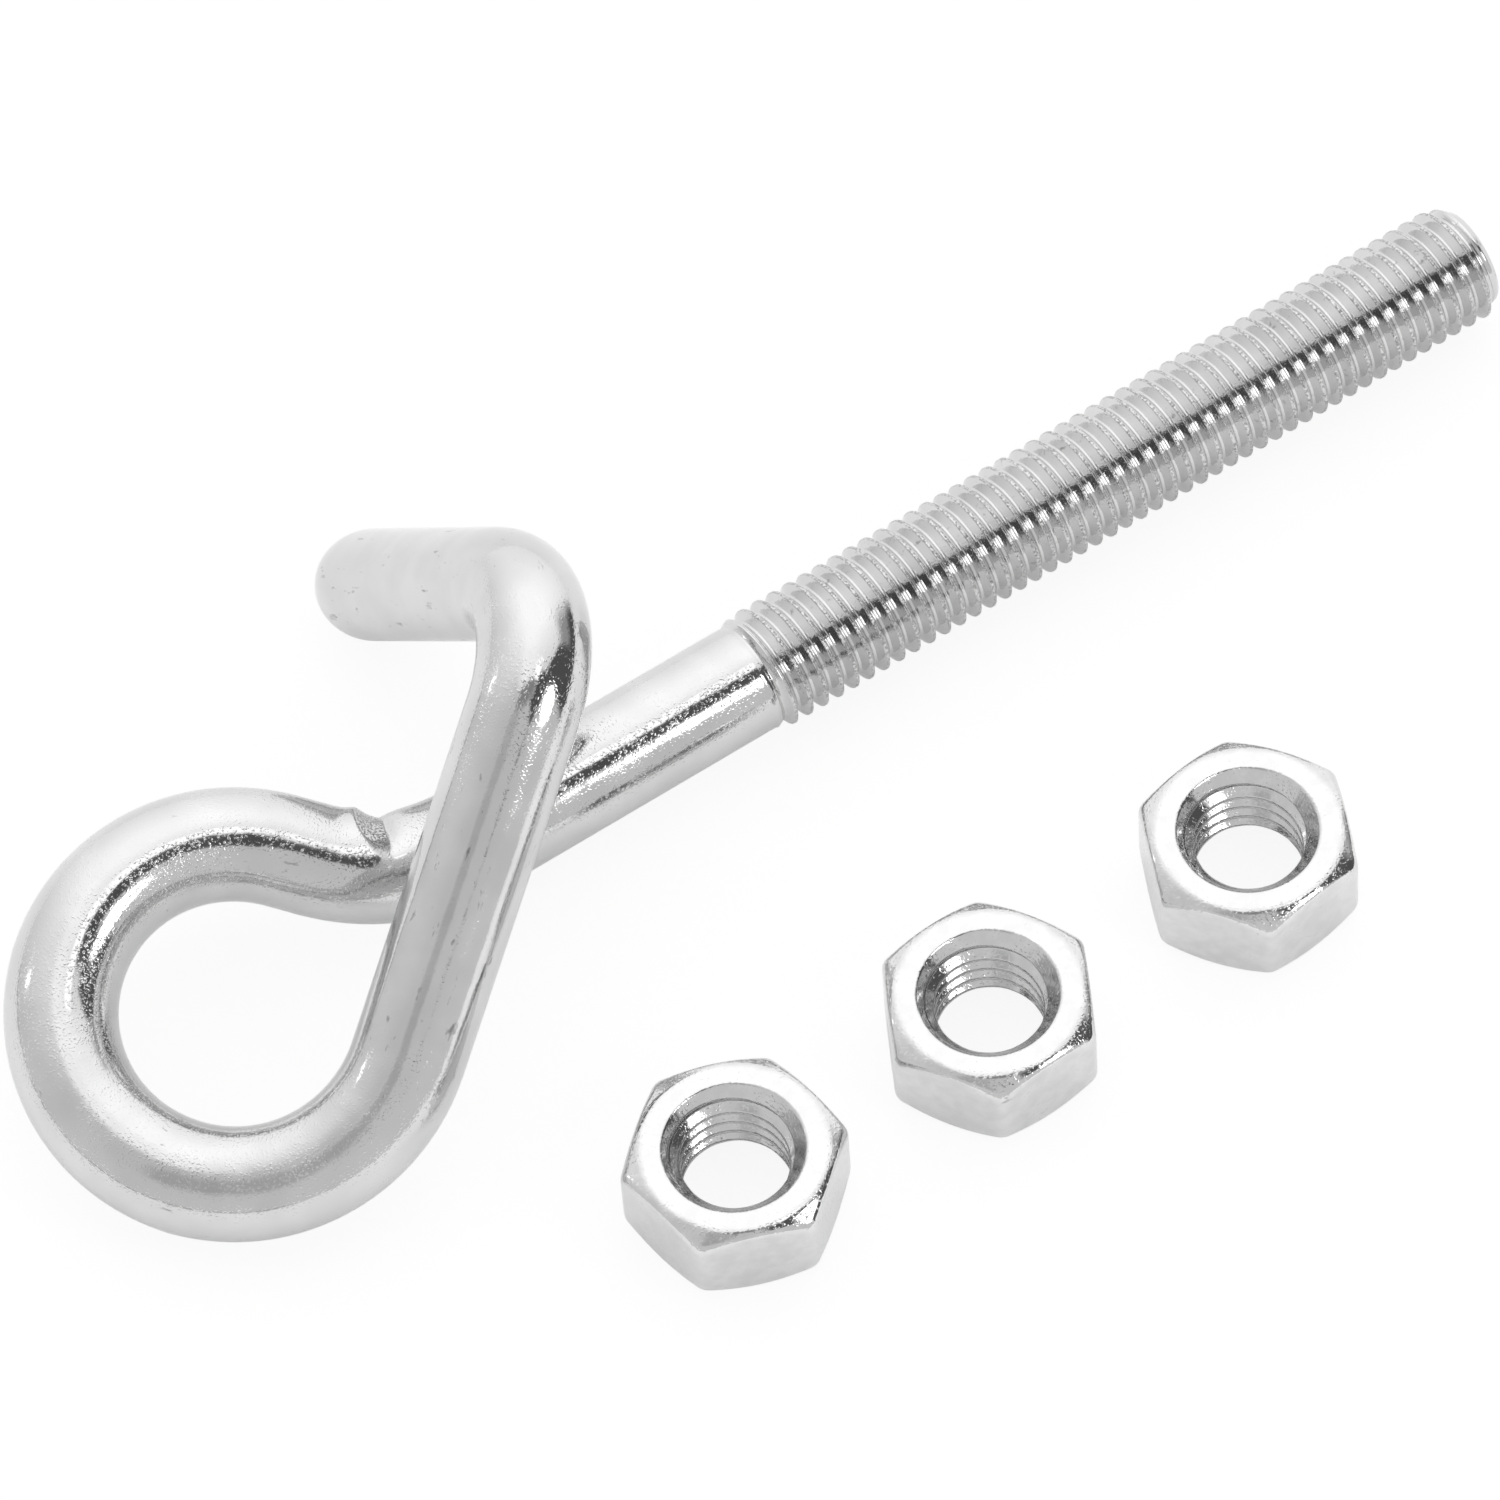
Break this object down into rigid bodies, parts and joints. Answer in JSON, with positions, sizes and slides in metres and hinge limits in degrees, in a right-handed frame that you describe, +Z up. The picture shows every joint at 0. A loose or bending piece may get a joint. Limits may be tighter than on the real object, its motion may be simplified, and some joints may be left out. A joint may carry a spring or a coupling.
{
  "type": "swing hook",
  "caption": "Bent rod hook on an M12 threaded shank: a coiled loop, an arm that crosses the shank and a leg that turns back past it, with its loose hex nuts, for hanging a swing from a beam.",
  "frame": {"origin": "on the ground, at the middle of the bottom of the box round the hook and its nuts", "axes": "+X along the shank towards the free end of the thread, +Y to the side where the leg's tip lies, +Z up from the ground"},
  "size_m": [0.1658, 0.0899, 0.0339],
  "materials": {
    "hook_plating": "bright zinc plating, finely pitted",
    "nut_plating": "bright zinc plating"
  },
  "bodies": {
    "root": {"hook": "hook_plating", "nut_1": "nut_plating", "nut_2": "nut_plating", "nut_3": "nut_plating"}
  },
  "joints": []
}
